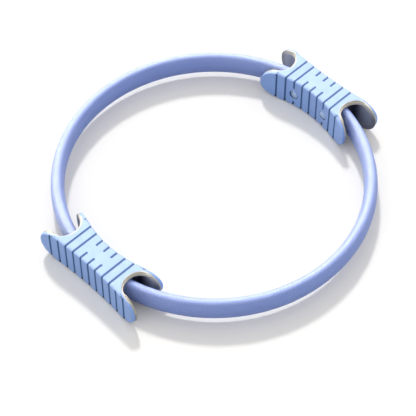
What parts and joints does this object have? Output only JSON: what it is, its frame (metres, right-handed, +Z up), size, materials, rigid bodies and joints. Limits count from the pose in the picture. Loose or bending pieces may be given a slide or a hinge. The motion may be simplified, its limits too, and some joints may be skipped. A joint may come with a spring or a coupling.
{
  "type": "pilates ring",
  "caption": "Springy pilates ring: a padded hoop in a textured rubber sleeve, with grooved, notched grips on opposite sides that are pressed from inside or outside.",
  "frame": {"origin": "middle of the hoop, on the surface that the grips rest on", "axes": "+Z up out of the hoop's plane, +X from the left grip to the right grip, +Y to the back half of the hoop"},
  "size_m": [0.3964, 0.3758, 0.041],
  "materials": {
    "skin_rubber": "satin light-blue thermoplastic rubber",
    "sleeve_rubber": "light periwinkle rubber with a fine net relief",
    "hard_shell": "matte cream plastic",
    "plug_plastic": "satin light-blue plastic",
    "foam": "dark closed-cell foam",
    "fibreglass": "translucent straw-coloured pultruded fibreglass",
    "steel": "zinc-plated steel"
  },
  "bodies": {
    "left_grip_and_hoop": {"front_bar": "fibreglass", "back_bar": "fibreglass", "front_padding": "foam", "back_padding": "foam", "front_sleeve": "sleeve_rubber", "back_sleeve": "sleeve_rubber", "left_skin": "skin_rubber", "left_outer_shell": "hard_shell", "left_inner_shell": "hard_shell", "left_splice_plate": "steel", "left_rivets": "steel", "left_screws": "steel", "left_screw_plugs": "plug_plastic"},
    "right_grip": {"right_skin": "skin_rubber", "right_outer_shell": "hard_shell", "right_inner_shell": "hard_shell", "right_splice_plate": "steel", "right_rivets": "steel", "right_screws": "steel", "right_screw_plugs": "plug_plastic"}
  },
  "joints": [
    {"name": "squeeze", "type": "slide", "parent": "left_grip_and_hoop", "child": "right_grip", "axis": [-1, 0, 0], "range_m": [-0.02, 0.07], "stiffness_N_per_m": 1500, "deforming": ["front_bar", "back_bar", "front_padding", "back_padding", "front_sleeve", "back_sleeve"]}
  ]
}
